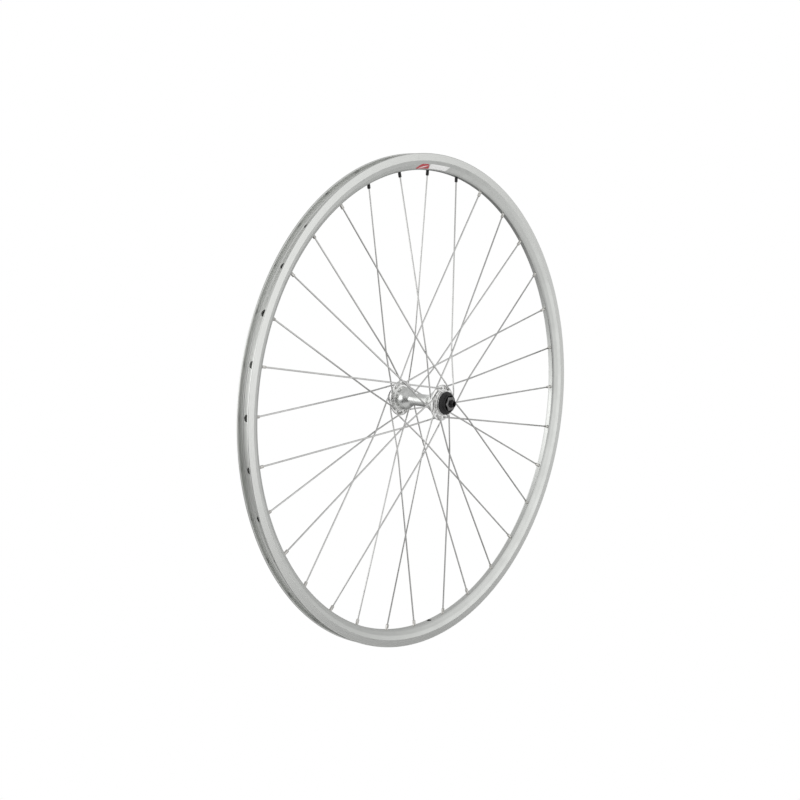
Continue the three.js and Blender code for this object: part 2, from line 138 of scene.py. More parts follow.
class Nodes:
    """A material's node tree, with short calls for the nodes that these materials use."""

    def __init__(self, name, color, roughness, metallic, **sockets):
        self.material = bpy.data.materials.new(name)
        self.material.use_nodes = True
        self.tree = self.material.node_tree
        self.shader = self.tree.nodes["Principled BSDF"]
        self.shader.inputs["Base Color"].default_value = (*color, 1)
        self.shader.inputs["Roughness"].default_value = roughness
        self.shader.inputs["Metallic"].default_value = metallic
        for socket, value in sockets.items():
            self.shader.inputs[socket.replace("_", " ")].default_value = value
        self.place = self.node("ShaderNodeTexCoord").outputs["Object"]
        self.heights = []

    def node(self, kind, **settings):
        made = self.tree.nodes.new(kind)
        for key, value in settings.items():
            setattr(made, key, value)
        return made

    def feed(self, socket, value):
        if hasattr(value, "links"):
            self.tree.links.new(value, socket)
        else:
            socket.default_value = value

    def math(self, operation, *values, clamp=False):
        made = self.node("ShaderNodeMath", operation=operation, use_clamp=clamp)
        for socket, value in zip(made.inputs, values):
            self.feed(socket, value)
        return made.outputs[0]

    def axes(self):
        split = self.node("ShaderNodeSeparateXYZ")
        self.feed(split.inputs[0], self.place)
        return split.outputs

    def radius(self):
        """The distance from the axle, in metres."""
        x, _, z = self.axes()
        return self.math("SQRT", self.math("ADD", self.math("MULTIPLY", x, x), self.math("MULTIPLY", z, z)))

    def streaks(self, across, around, detail=4):
        """Noise drawn out round the axle: across is its frequency over the radius and the width
        in 1/m, around its frequency along the circumference at a radius of 1."""
        x, y, z = self.axes()
        r = self.radius()
        vector = self.node("ShaderNodeCombineXYZ")
        self.feed(vector.inputs[0], self.math("MULTIPLY", r, across))
        self.feed(vector.inputs[1], self.math("MULTIPLY", y, across))
        self.feed(vector.inputs[2], self.math("MULTIPLY", self.math("DIVIDE", x, r), around))
        noise = self.node("ShaderNodeTexNoise", noise_dimensions="4D")
        self.feed(noise.inputs["Vector"], vector.outputs[0])
        self.feed(noise.inputs["W"], self.math("MULTIPLY", self.math("DIVIDE", z, r), around))
        noise.inputs["Scale"].default_value = 1
        noise.inputs["Detail"].default_value = detail
        return noise.outputs["Fac"]

    def noise(self, frequency, detail=3, roughness=0.55, stretch=(1, 1, 1)):
        mapping = self.node("ShaderNodeMapping")
        self.feed(mapping.inputs["Vector"], self.place)
        mapping.inputs["Scale"].default_value = stretch
        noise = self.node("ShaderNodeTexNoise")
        self.feed(noise.inputs["Vector"], mapping.outputs[0])
        noise.inputs["Scale"].default_value = frequency
        noise.inputs["Detail"].default_value = detail
        noise.inputs["Roughness"].default_value = roughness
        return noise.outputs["Fac"]

    def span(self, value, low, high, start=0.0, end=1.0):
        """A smooth step of a value from one range to another."""
        made = self.node("ShaderNodeMapRange", interpolation_type="SMOOTHSTEP")
        for socket, number in zip(made.inputs, (value, low, high, start, end)):
            self.feed(socket, number)
        return made.outputs[0]

    def mix(self, factor, first, second):
        made = self.node("ShaderNodeMix", data_type="RGBA")
        self.feed(made.inputs[0], factor)
        for socket, value in ((made.inputs[6], first), (made.inputs[7], second)):
            self.feed(socket, (*value, 1) if isinstance(value, tuple) else value)
        return made.outputs[2]

    def color(self, value):
        self.feed(self.shader.inputs["Base Color"], value)

    def roughness(self, value):
        self.feed(self.shader.inputs["Roughness"], value)

    def relief(self, height, depth):
        """Adds a height, 0 to 1, that stands depth metres deep."""
        self.heights.append(self.math("MULTIPLY", height, depth))

    def finish(self, strength=1.0):
        if self.heights:
            total = self.heights[0]
            for height in self.heights[1:]:
                total = self.math("ADD", total, height)
            bump = self.node("ShaderNodeBump")
            bump.inputs["Strength"].default_value = strength
            bump.inputs["Distance"].default_value = 1
            self.feed(bump.inputs["Height"], total)
            self.feed(self.shader.inputs["Normal"], bump.outputs[0])
        return self.material


def satin_alloy():
    """Silver anodised extrusion: a fine etched grain, faint drawing lines, soft handling marks."""
    m = Nodes("satin_alloy", (0.72, 0.735, 0.715), 0.36, 1.0)
    streak = m.streaks(900, 30, 2)
    cloud = m.noise(38, 3)
    grain = m.noise(5200, 1)
    base = m.mix(m.span(streak, 0.3, 0.7), (0.715, 0.73, 0.71), (0.745, 0.755, 0.735))
    m.color(m.mix(m.span(cloud, 0.35, 0.75, 0, 0.35), base, (0.66, 0.67, 0.65)))
    m.roughness(m.math("ADD", m.span(cloud, 0.3, 0.7, 0.33, 0.4), m.span(grain, 0.3, 0.7, 0, 0.05)))
    m.relief(grain, 0.0000005)
    m.relief(streak, 0.000001)
    return m.finish(0.6)


def track_alloy():
    """The brake track: turned to a flat face in fine concentric lines, then anodised."""
    m = Nodes("track_alloy", (0.74, 0.75, 0.73), 0.32, 1.0)
    lines = m.streaks(5200, 6, 1)
    wide = m.streaks(700, 40, 2)
    m.color(m.mix(m.span(wide, 0.3, 0.7), (0.725, 0.735, 0.715), (0.755, 0.765, 0.745)))
    m.roughness(m.span(lines, 0.3, 0.7, 0.25, 0.3))
    m.relief(lines, 0.0000005)
    return m.finish(0.6)


def channel_alloy():
    """Inside the tyre channel, and the joint's sleeve: left as drawn, with faint die lines."""
    m = Nodes("channel_alloy", (0.76, 0.77, 0.75), 0.3, 1.0)
    lines = m.streaks(1400, 10, 2)
    m.color(m.mix(m.span(lines, 0.3, 0.7), (0.74, 0.75, 0.73), (0.77, 0.78, 0.76)))
    m.roughness(m.span(lines, 0.25, 0.75, 0.4, 0.46))
    m.relief(lines, 0.000001)
    return m.finish(0.7)


def painted_shade_chamber_alloy():
    """Inside the closed chamber: mill finish, dull, never seen by a brush; its near-black colour is painted
    shade for the dark inside of the box section.
    """
    # Base colour far below bare alloy: painted shade inside the chamber.
    m = Nodes("painted_shade_chamber_alloy", (0.2, 0.2, 0.19), 0.55, 0.8)
    lines = m.streaks(1800, 9, 4)
    m.color(m.mix(m.span(lines, 0.3, 0.7), (0.15, 0.15, 0.145), (0.24, 0.24, 0.23)))
    m.roughness(m.span(lines, 0.25, 0.75, 0.48, 0.62))
    m.relief(lines, 0.000008)
    return m.finish(0.7)


def polished_alloy():
    """The hub shell: forged and turned, satin on its barrel and buffed bright on its flanges."""
    m = Nodes("polished_alloy", (0.86, 0.87, 0.86), 0.2, 1.0)
    _, along, _ = m.axes()
    flange = m.span(m.math("ABSOLUTE", along), 0.0315, 0.0325)
    rings = m.streaks(3800, 12, 4)
    cloud = m.noise(160, 4)
    barrel = m.mix(m.span(cloud, 0.3, 0.8), (0.85, 0.86, 0.845), (0.82, 0.83, 0.815))
    m.color(m.mix(flange, barrel, (0.95, 0.95, 0.94)))
    satin = m.span(cloud, 0.3, 0.7, 0.23, 0.27)
    buffed = m.span(rings, 0.35, 0.65, 0.13, 0.17)
    m.roughness(m.math("ADD", satin, m.math("MULTIPLY", flange, m.math("SUBTRACT", buffed, satin))))
    m.relief(rings, 0.0000004)
    return m.finish(0.5)


def drawn_stainless():
    """Spoke wire: bright drawn stainless, with fine lines along the wire and a duller patina."""
    m = Nodes("drawn_stainless", (0.62, 0.62, 0.61), 0.18, 1.0)
    drawn = m.noise(2600, 3, stretch=(0.02, 1, 1))
    patina = m.noise(90, 4)
    m.color(m.mix(m.span(patina, 0.3, 0.7), (0.66, 0.66, 0.65), (0.59, 0.59, 0.58)))
    m.roughness(m.span(patina, 0.3, 0.7, 0.12, 0.2))
    m.relief(drawn, 0.0000008)
    return m.finish(0.5)


def nickel_plate():
    """Nickel on brass: bright, faintly warm, a little duller where the key has bitten."""
    m = Nodes("nickel_plate", (0.62, 0.61, 0.59), 0.2, 1.0)
    patina = m.noise(700, 4)
    m.color(m.mix(m.span(patina, 0.35, 0.7), (0.66, 0.65, 0.63), (0.5, 0.49, 0.46)))
    m.roughness(m.span(patina, 0.3, 0.7, 0.15, 0.3))
    m.relief(m.noise(2400, 2), 0.000006)
    return m.finish(0.6)


def black_oxide():
    """Black oxide on brass: near black, with the faintest brown where it is thin."""
    m = Nodes("black_oxide_brass", (0.018, 0.018, 0.018), 0.34, 0.5)
    worn = m.noise(900, 4)
    m.color(m.mix(m.span(worn, 0.5, 0.78), (0.012, 0.012, 0.013), (0.06, 0.05, 0.04)))
    m.roughness(m.span(worn, 0.3, 0.7, 0.28, 0.42))
    return m.finish()


def bearing_steel():
    """Hardened and ground steel."""
    m = Nodes("bearing_steel", (0.6, 0.61, 0.63), 0.12, 1.0)
    rings = m.streaks(5200, 8, 3)
    film = m.noise(260, 4)
    m.color(m.mix(m.span(film, 0.4, 0.75), (0.62, 0.63, 0.65), (0.46, 0.44, 0.39)))
    m.roughness(m.span(rings, 0.3, 0.7, 0.09, 0.2))
    m.relief(rings, 0.000003)
    return m.finish(0.6)


def cap_steel():
    """Pressed and plated sheet steel, with the press's fine radial pull at its bends."""
    m = Nodes("cap_steel", (0.74, 0.75, 0.75), 0.2, 1.0)
    rings = m.streaks(2600, 9, 4)
    cloud = m.noise(320, 3)
    m.color(m.mix(m.span(cloud, 0.3, 0.7), (0.78, 0.785, 0.785), (0.66, 0.665, 0.66)))
    m.roughness(m.span(rings, 0.3, 0.7, 0.16, 0.28))
    m.relief(rings, 0.000004)
    return m.finish(0.6)


def black_steel():
    """Black-oxide steel: dark and oily, rubbed a little brighter on its crests."""
    m = Nodes("black_steel", (0.03, 0.03, 0.032), 0.38, 0.85)
    rubbed = m.noise(520, 4)
    grain = m.noise(5200, 2)
    m.color(m.mix(m.span(rubbed, 0.45, 0.8), (0.022, 0.022, 0.024), (0.09, 0.088, 0.085)))
    m.roughness(m.span(grain, 0.3, 0.7, 0.3, 0.46))
    m.relief(grain, 0.000008)
    return m.finish(0.7)


def locknut_steel():
    """Dark plated steel, turned on its face and milled on its flats."""
    m = Nodes("locknut_steel", (0.2, 0.2, 0.2), 0.34, 1.0)
    rings = m.streaks(4200, 4, 3)
    cloud = m.noise(420, 4)
    m.color(m.mix(m.span(cloud, 0.3, 0.75), (0.17, 0.17, 0.172), (0.27, 0.268, 0.262)))
    m.roughness(m.span(rings, 0.3, 0.7, 0.26, 0.42))
    m.relief(rings, 0.00001)
    return m.finish(0.8)


def moulded_rubber():
    """Moulded rubber with the mould's fine matt texture and a trace of pale bloom."""
    m = Nodes("moulded_rubber", (0.013, 0.013, 0.013), 0.58, 0.0, Specular_IOR_Level=0.42)
    grain = m.noise(7000, 3, 0.6)
    bloom = m.noise(140, 5, 0.62)
    m.color(m.mix(m.span(bloom, 0.45, 0.85), (0.011, 0.011, 0.0115), (0.04, 0.04, 0.039)))
    m.roughness(m.span(bloom, 0.3, 0.8, 0.5, 0.72))
    m.relief(grain, 0.00003)
    return m.finish(0.8)


def printed_film(name, color, faded):
    """Printed vinyl film under a thin clear coat, a little faded and scuffed."""
    m = Nodes(name, color, 0.42, 0.0, Coat_Weight=0.35, Coat_Roughness=0.22)
    scuff = m.streaks(1500, 160, 5)
    weave = m.noise(9000, 2)
    m.color(m.mix(m.span(scuff, 0.52, 0.8, 0, 0.55), color, faded))
    m.roughness(m.span(scuff, 0.35, 0.75, 0.36, 0.56))
    m.relief(weave, 0.000004)
    return m.finish(0.5)


def floor_paper():
    """Plain pale studio paper, lit up to an even white for the eye."""
    m = Nodes("floor_paper", (0.86, 0.86, 0.86), 0.9, 0.0, Specular_IOR_Level=0.0)
    seen = m.node("ShaderNodeLightPath").outputs["Is Camera Ray"]
    m.shader.inputs["Emission Color"].default_value = (1, 1, 1, 1)
    m.feed(m.shader.inputs["Emission Strength"], seen)
    tone = m.noise(3, 4)
    paper = m.mix(m.span(tone, 0.3, 0.7), (0.87, 0.87, 0.87), (0.85, 0.85, 0.85))
    m.color(m.mix(seen, paper, (0.0, 0.0, 0.0)))
    return m.finish()


# ------------------------------------------------------------------ meshes


def on_wheel(radius, angle, along=0.0):
    """A point in millimetres at an angle on the wheel, counted from its valve hole's place."""
    turned = radians(angle + WHEEL_TURN)
    return np.array((radius * cos(turned), along, radius * sin(turned)))


def filleted(corners):
    """A closed outline of (radius, along) points. A corner may carry a fillet and its steps."""
    corners = [tuple(c) + (0, 1)[len(c) - 2:] if len(c) < 4 else tuple(c) for c in corners]
    points = []
    count = len(corners)
    for index, (r, y, fillet, steps) in enumerate(corners):
        here = np.array((r, y), float)
        if fillet <= 0:
            points.append(here)
            continue
        before = np.array(corners[index - 1][:2], float) - here
        after = np.array(corners[(index + 1) % count][:2], float) - here
        a, b = np.linalg.norm(before), np.linalg.norm(after)
        before, after = before / a, after / b
        angle = acos(max(-1.0, min(1.0, float(before @ after))))
        reach = min(fillet / tan(angle / 2), 0.49 * a, 0.49 * b)
        radius = reach * tan(angle / 2)
        middle = before + after
        centre = here + middle / np.linalg.norm(middle) * radius / sin(angle / 2)
        first, last = here + before * reach - centre, here + after * reach - centre
        sweep = pi - angle
        for step in range(int(steps) + 1):
            t = step / steps
            spoke = (sin((1 - t) * sweep) * first + sin(t * sweep) * last) / sin(sweep)
            points.append(centre + spoke)
    return points


def mirrored(half):
    """A half outline, then its mirror image on the other side of the wheel's middle."""
    return list(half) + [(p[0], -p[1], *p[2:]) for p in reversed(half)]


def ring_of(outlines, steps):
    """(points, faces) of closed outlines turned round the axle."""
    points, faces = [], []
    for outline in outlines:
        base, count = len(points), len(outline)
        for step in range(steps):
            angle = 2 * pi * step / steps
            points += [(p[0] * cos(angle), p[1], p[0] * sin(angle)) for p in outline]
        for step in range(steps):
            here, there = base + step * count, base + (step + 1) % steps * count
            for i in range(count):
                j = (i + 1) % count
                faces.append((here + i, there + i, there + j, here + j))
    return points, faces


def make_mesh(name, points, faces):
    mesh = bpy.data.meshes.new(name)
    mesh.from_pydata([tuple(float(c) * MM for c in p) for p in points], [], faces)
    work = bmesh.new()
    work.from_mesh(mesh)
    bmesh.ops.recalc_face_normals(work, faces=work.faces)
    work.to_mesh(mesh)
    work.free()
    return mesh


def new_object(name, mesh):
    made = bpy.data.objects.new(name, mesh)
    bpy.context.scene.collection.objects.link(made)
    return made


def merged(groups):
    """Several (points, faces) pairs as one pair."""
    points, faces = [], []
    for some, more in groups:
        base = len(points)
        points += list(some)
        faces += [tuple(base + i for i in face) for face in more]
    return points, faces


def drilled(piece, groups, operation="DIFFERENCE"):
    """Cuts the solids in groups out of a piece, or with INTERSECT keeps what it shares."""
    points, faces = merged(groups)
    cutter = new_object("cutter", make_mesh("cutter", points, faces))
    modifier = piece.modifiers.new("cut", "BOOLEAN")
    modifier.operation = operation
    modifier.solver = "MANIFOLD"
    modifier.object = cutter
    bpy.context.view_layer.update()
    shape = piece.evaluated_get(bpy.context.evaluated_depsgraph_get())
    mesh = bpy.data.meshes.new_from_object(shape)
    mesh.materials.clear()
    piece.modifiers.clear()
    old = piece.data
    piece.data = mesh
    bpy.data.objects.remove(cutter)
    bpy.data.meshes.remove(old)


# The faces of a box whose corners run through both ends of each of its three directions in turn.
BOX_FACES = [(0, 1, 3, 2), (4, 6, 7, 5), (0, 4, 5, 1), (2, 3, 7, 6), (0, 2, 6, 4), (1, 5, 7, 3)]


def bar(start, end, radius, sides):
    """A closed rod between two points, as (points, faces)."""
    return tube([(start, radius), (end, radius)], sides)


def tube(stations, sides, section=None):
    """A closed tube through (point, radius) stations. section scales each side's radius, so
    that a tube may be square."""
    path = [np.array(p, float) for p, _ in stations]
    last = len(path) - 1
    legs = [b - a for a, b in zip(path, path[1:])]
    legs = [leg / (np.linalg.norm(leg) or 1) for leg in legs]
    heading = legs[0]
    guess = np.array((0.0, 1.0, 0.0)) if abs(heading[1]) < 0.9 else np.array((1.0, 0.0, 0.0))
    across = np.cross(heading, guess)
    across /= np.linalg.norm(across)
    points, faces, rings = [], [], []
    for index, (place, (_, radius)) in enumerate(zip(path, stations)):
        tangent = legs[max(index - 1, 0)] + legs[min(index, last - 1)]
        tangent /= np.linalg.norm(tangent)
        across = across - tangent * float(across @ tangent)
        across /= np.linalg.norm(across)
        up = np.cross(tangent, across)
        row = []
        shape = section(index) if section else None
        for side in range(sides):
            angle = 2 * pi * side / sides
            reach = radius * (shape(angle) if shape else 1)
            row.append(len(points))
            points.append(place + (across * cos(angle) + up * sin(angle)) * reach)
        rings.append(row)
    for near, far in zip(rings, rings[1:]):
        for i in range(sides):
            j = (i + 1) % sides
            faces.append((near[i], near[j], far[j], far[i]))
    faces.append(tuple(reversed(rings[0])))
    faces.append(tuple(rings[-1]))
    return points, faces


def finish_piece(piece, body, nodes, materials, sharp=35.0, weighted=True):
    """Shades a piece smooth between its edges, and gives it its materials, body and nodes."""
    mesh = piece.data
    mesh.polygons.foreach_set("use_smooth", [True] * len(mesh.polygons))
    mesh.set_sharp_from_angle(angle=radians(sharp))
    if weighted:
        modifier = piece.modifiers.new("even_shading", "WEIGHTED_NORMAL")
        modifier.keep_sharp = True
        modifier.weight = 80
    if not mesh.materials:
        for material in materials:
            mesh.materials.append(material)
    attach(piece, body)
    if nodes:
        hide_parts(*nodes)
    return piece


def turned_piece(name, outlines, steps, body, nodes, materials, sharp=35.0):
    points, faces = ring_of(outlines, steps)
    piece = new_object(name, make_mesh(name, points, faces))
    return finish_piece(piece, body, nodes, materials, sharp)


def on_side(outline, side):
    """An outline drawn for the left side, mirrored if it is wanted on the right."""
    return [(p[0], side * p[1], *p[2:]) for p in outline]


# ------------------------------------------------------------------ rim

SATIN, TRACK, CHANNEL, CHAMBER = 0, 1, 2, 3

# How far each cutter reaches, as radii or distances from the spoke bed and the rim's side.
ACCESS_CUT = (302, 312)
BED_CUT = 5
VALVE_CUT = (290, 314)
SEAM_CUT = (306.2, 318)
SEAM_CUT_WIDTH = 10.2
SEAM_DEPTH = 0.16
SEAM_HALF = 0.1

# Where the finishes change.
RIM_EDGE_RADIUS = 316.1
RIM_EDGE_INSIDE = 7.9
CHANNEL_RADIUS = 308.5
CHANNEL_HALF_WIDTH = 8.3
CHAMBER_RADII = (297.4, 308.6)
CHAMBER_HALF_WIDTHS = (2.7, 7.7)

rim_outside = mirrored([
    (309.5, 4.5, 1, 4),
    (310.9, 5.7, 0.8, 3),
    (311, 8.1, 0.7, 4),
    (314.9, 7.75, 0.9, 4),
    (315.9, 7.35, 0.4, 4),
    (317, 7.9, 0.7, 5),
    (317, 9.65, 1, 6),
    (307.75, 9.65, 0.6, 4),
    (302.8, 7.9, 7, 6),
    (298.2, 5.0, 5, 6),
    (296, 3.0, 2.6, 6),
])

rim_chamber = mirrored([
    (308.0, 5.0, 0.5, 3),
    (308.6, 7.7, 0.4, 3),
    (303.3, 6.5, 4, 4),
    (299.2, 4.0, 3, 4),
    (297.6, 2.6, 1.5, 4),
])


def spoke_plan(number):
    """(side, rim angle, lead, hub angle) of a spoke. Even spokes go to the right flange."""
    side = -1 if number % 2 == 0 else 1
    rim_angle = SEAM_ANGLE + 1.5 * SPOKE_STEP - (number - 1) * SPOKE_STEP
    lead = 1 if number % 4 in (1, 2) else -1
    return side, rim_angle, lead, rim_angle + lead * LACING_ANGLE


def rim_material(face):
    """Which finish a face of the rim has, from where its middle lies."""
    x, y, z = face.center / MM
    radius = hypot(x, z)
    if abs(y) > RIM_HALF_WIDTH - 0.02 and TRACK_INNER_RADIUS < radius < TRACK_OUTER_RADIUS:
        return TRACK
    if radius > RIM_EDGE_RADIUS and abs(y) > RIM_EDGE_INSIDE:
        return TRACK
    if radius > CHANNEL_RADIUS and abs(y) < CHANNEL_HALF_WIDTH:
        return CHANNEL
    low, high = CHAMBER_RADII
    narrow, wide = CHAMBER_HALF_WIDTHS
    depth = (radius - low) / (high - low)
    inside = 0 < depth < 1 and abs(y) < narrow + (wide - narrow) * depth
    # Faces inside the chamber take the alloy with painted shade in its colour.
    return CHAMBER if inside else SATIN


def build_rim(materials):
    outlines = [filleted(rim_outside), list(reversed(filleted(rim_chamber)))]
    points, faces = ring_of(outlines, RIM_STEPS)
    mesh = bpy.data.meshes.new("rim_extrusion")
    mesh.from_pydata([tuple(c * MM for c in p) for p in points], [], faces)
    volume = bmesh.new()
    volume.from_mesh(mesh)
    if volume.calc_volume(signed=True) < 0:
        bmesh.ops.reverse_faces(volume, faces=volume.faces)
    volume.to_mesh(mesh)
    volume.free()
    piece = new_object("rim_extrusion", mesh)
    holes = []
    for number in range(1, SPOKES + 1):
        side, rim_angle, _, _ = spoke_plan(number)
        route = spoke_route(*spoke_plan(number))
        along = side * ACCESS_STAGGER
        bottom = on_wheel(ACCESS_CUT[0], rim_angle, along)
        top = on_wheel(ACCESS_CUT[1], rim_angle, along)
        holes.append(bar(bottom, top, ACCESS_HOLE_RADIUS, 32))
        start = on_last_leg(route, SPOKE_BED_RADIUS - BED_CUT)
        end = on_last_leg(route, SPOKE_BED_RADIUS + BED_CUT)
        holes.append(bar(start, end, NIPPLE_HOLE_RADIUS, 24))
    valve_ends = [on_wheel(radius, VALVE_ANGLE) for radius in VALVE_CUT]
    holes.append(bar(*valve_ends, VALVE_HOLE_RADIUS, 32))
    drilled(piece, holes)
    seam = []
    for face in (-1, 1):
        depths = (face * (RIM_HALF_WIDTH - SEAM_DEPTH), face * SEAM_CUT_WIDTH)
        corners = [(radius, y) for radius in SEAM_CUT for y in depths]
        block = [on_wheel(r, SEAM_ANGLE, y) + across * SEAM_HALF * on_wheel(1, SEAM_ANGLE + 90)
                 for across in (-1, 1) for r, y in corners]
        seam.append((block, BOX_FACES))
    drilled(piece, seam)
    for material in materials:
        piece.data.materials.append(material)
    for face in piece.data.polygons:
        face.material_index = rim_material(face)
    return finish_piece(piece, "wheel", ["rim"], materials, 32)


SLEEVE_RADIUS = 303
SLEEVE_LENGTH = 44


def stretch_of(outline, angle, length, steps):
    """(points, faces) of a closed outline carried round a short stretch of the rim."""
    half = degrees(length / 2 / SLEEVE_RADIUS)
    points, faces, count = [], [], len(outline)
    for step in range(steps + 1):
        here = angle - half + 2 * half * step / steps
        points += [on_wheel(p[0], here, p[1]) for p in outline]
    for step in range(steps):
        a, b = step * count, (step + 1) * count
        faces += [(a + i, b + i, b + (i + 1) % count, a + (i + 1) % count) for i in range(count)]
    faces.append(tuple(range(count)))
    faces.append(tuple(reversed(range(steps * count, (steps + 1) * count))))
    return points, faces


def build_sleeve(material):
    outline = filleted(mirrored([(306.7, 5.6, 0.5, 3), (300, 3.3, 0.6, 3), (298.6, 2.1, 0.4, 3)]))
    points, faces = stretch_of(outline, SEAM_ANGLE, SLEEVE_LENGTH, 24)
    piece = new_object("rim_joint_plug", make_mesh("rim_joint_plug", points, faces))
    finish_piece(piece, "wheel", ["rim_joint_sleeve"], [material])


# The label lies on the right slope: a red block with a swept front, then a pale block that ends
# on a slant.
LABEL_START = 0.4                # behind the seam
RED_LENGTH = 24.5
PALE_LENGTH = 34.5
LABEL_LOW = 297.6
LABEL_HIGH = 303.4
FILM = 0.09


def slope_place(radius):
    """(radius, along, outward radius, outward along) of the rim's right slope at a radius."""
    outline = filleted(rim_outside)
    side = [p for p in outline if p[1] > 0 and 296.0 <= p[0] < 307.4]
    side.sort(key=lambda p: p[0])
    radii = [p[0] for p in side]
    place = [p[1] for p in side]
    along = float(np.interp(radius, radii, place))
    ahead = float(np.interp(radius + 0.4, radii, place)) - float(np.interp(radius - 0.4, radii, place))
    size = hypot(0.8, ahead)
    return radius, along, -ahead / size, 0.8 / size


def build_film(name, material, outline_at, start, length, columns=40, rows=10, bed=0.02, film=FILM):
    """A film on the right slope. outline_at gives its lower and upper radius at a fraction of
    its length, and how far that fraction is carried back at the upper edge."""
    points, faces = [], []
    for lift in (bed, bed + film):
        for column in range(columns + 1):
            fraction = column / columns
            low, high, slant = outline_at(fraction)
            for row in range(rows + 1):
                share = row / rows
                r, along, out_r, out_y = slope_place(low + (high - low) * share)
                run = start + length * fraction + slant * share
                angle = SEAM_ANGLE + degrees(-run / 300.0)
                points.append(on_wheel(r + out_r * lift, angle, -(along + out_y * lift)))
    stride = rows + 1
    layer = (columns + 1) * stride
    for column in range(columns):
        for row in range(rows):
            a = column * stride + row
            faces.append((a, a + stride, a + stride + 1, a + 1))
            faces.append((layer + a + 1, layer + a + stride + 1, layer + a + stride, layer + a))
        for row, flip in ((0, False), (rows, True)):
            a = column * stride + row
            edge = (a, a + layer, a + layer + stride, a + stride)
            faces.append(tuple(reversed(edge)) if flip else edge)
    for column, flip in ((0, True), (columns, False)):
        for row in range(rows):
            a = column * stride + row
            edge = (a, a + layer, a + layer + 1, a + 1)
            faces.append(tuple(reversed(edge)) if flip else edge)
    piece = new_object(name, make_mesh(name, points, faces))
    finish_piece(piece, "wheel", ["rim_label"], [material], 50, False)


def build_label(red, pale):
    def swept(fraction):
        rise = min(1.0, sin(min(fraction * 1.7, 1.0) * pi / 2) + 0.12)
        fall = 1 - 0.22 * max(0.0, (fraction - 0.82) / 0.18) ** 2
        return LABEL_LOW, LABEL_LOW + (LABEL_HIGH - LABEL_LOW) * rise * fall, -1.2

    def slanted(fraction):
        return LABEL_LOW, LABEL_HIGH - 0.25 * fraction, 4.5 * fraction

    def swoosh(fraction):
        low = LABEL_LOW + 0.5 + 3.4 * fraction ** 1.6
        return low, low + 0.12 + 1.0 * sin(pi * fraction) ** 1.5, 0.0

    build_film("label_red_block", red, swept, -LABEL_START, RED_LENGTH)
    build_film("label_pale_block", pale, slanted, RED_LENGTH - LABEL_START + 0.5, PALE_LENGTH)
    build_film("label_sweep", pale, swoosh, 2.5, RED_LENGTH - 5, bed=0.13, film=0.04)


# ------------------------------------------------------------------ spokes and nipples


CROSSING_BEND = 5                # how far each way the wire bends where it crosses its neighbour


def crossing_radius():
    """Where a spoke meets its last neighbour."""
    wide, near = radians(LACING_ANGLE), radians(FLANGE_STEP / 2)
    area = SPOKE_BED_RADIUS * HOLE_CIRCLE_RADIUS * sin(wide)
    return area / (SPOKE_BED_RADIUS * sin(near) + HOLE_CIRCLE_RADIUS * sin(wide - near))


def spoke_route(side, rim_angle, lead, hub_angle):
    """The stations of a spoke's centre line, and its last straight leg into the nipple."""
    leaving = -lead * side
    face = side * FLANGE_CENTRE + leaving * FLANGE_THICKNESS / 2
    head_face = side * FLANGE_CENTRE - leaving * (FLANGE_THICKNESS / 2 + CLEARANCE / 2)
    hole = on_wheel(HOLE_CIRCLE_RADIUS, hub_angle)
    end = on_wheel(SPOKE_BED_RADIUS, rim_angle)
    span = float(np.linalg.norm(end - hole))
    heading = (end - hole) / span

    def at(distance, along):
        place = hole + heading * distance
        return np.array((place[0], along, place[2]))

    crossing = on_wheel(crossing_radius(), rim_angle + lead * FLANGE_STEP / 2)
    crossing_distance = float(np.linalg.norm(crossing - hole))
    middle = FLANGE_CENTRE + (RIM_STAGGER - FLANGE_CENTRE) * crossing_distance / span
    place = side * (middle + lead * (SPOKE_RADIUS + CLEARANCE / 2))
    stations = [at(0, head_face + leaving * 0.2)]
    for step in range(9):
        bend = pi / 2 * step / 8
        stations.append(at(ELBOW_RADIUS * (1 - cos(bend)), face + leaving * ELBOW_RADIUS * sin(bend)))
    if lead < 0:
        stations.append(at(10, face + leaving * (SPOKE_RADIUS + 0.45)))
    turn = at(crossing_distance, place)
    bed = at(span, side * RIM_STAGGER)
    aim = (bed - turn) / np.linalg.norm(bed - turn)
    arrive = turn - stations[-1]
    arrive /= np.linalg.norm(arrive)
    start, stop = turn - arrive * CROSSING_BEND, turn + aim * CROSSING_BEND
    for step in range(7):
        t = step / 6
        stations.append((1 - t) ** 2 * start + 2 * t * (1 - t) * turn + t * t * stop)
    return stations, bed, aim, head_face, leaving, hole


def on_last_leg(route, radius):
    _, bed, aim, _, _, _ = route
    return bed + aim * (radius - SPOKE_BED_RADIUS)


def spoke_mesh(route):
    """A spoke: forged head with its domed top, wire, elbow, and rolled thread's end."""
    stations, _, _, head_face, leaving, hole = route

    def head(height):
        return np.array((hole[0], head_face - leaving * height, hole[2]))

    profile = [(head(HEAD_HEIGHT), 0.25), (head(HEAD_HEIGHT - 0.03), 0.8), (head(HEAD_HEIGHT * 0.86), 1.25),
               (head(HEAD_HEIGHT * 0.6), 1.62), (head(HEAD_HEIGHT * 0.3), HEAD_RADIUS),
               (head(0.14), HEAD_RADIUS), (head(-0.02), 1.6), (head(-0.15), SPOKE_RADIUS)]
    wire = [(p, SPOKE_RADIUS) for p in stations[1:]]
    tip = [(on_last_leg(route, SPOKE_TIP_RADIUS - 0.4), SPOKE_RADIUS),
           (on_last_leg(route, SPOKE_TIP_RADIUS), SPOKE_RADIUS * 0.7)]
    return tube(profile + wire + tip, 16)


def square_section(flat):
    """How far a square with rounded corners reaches at an angle, for a flat at 1 or a round."""
    def reach(angle):
        a = abs(((angle + pi / 4) % (pi / 2)) - pi / 4)
        square = min(1 / cos(a), 1.24)
        return 1 + (square - 1) * flat
    return reach


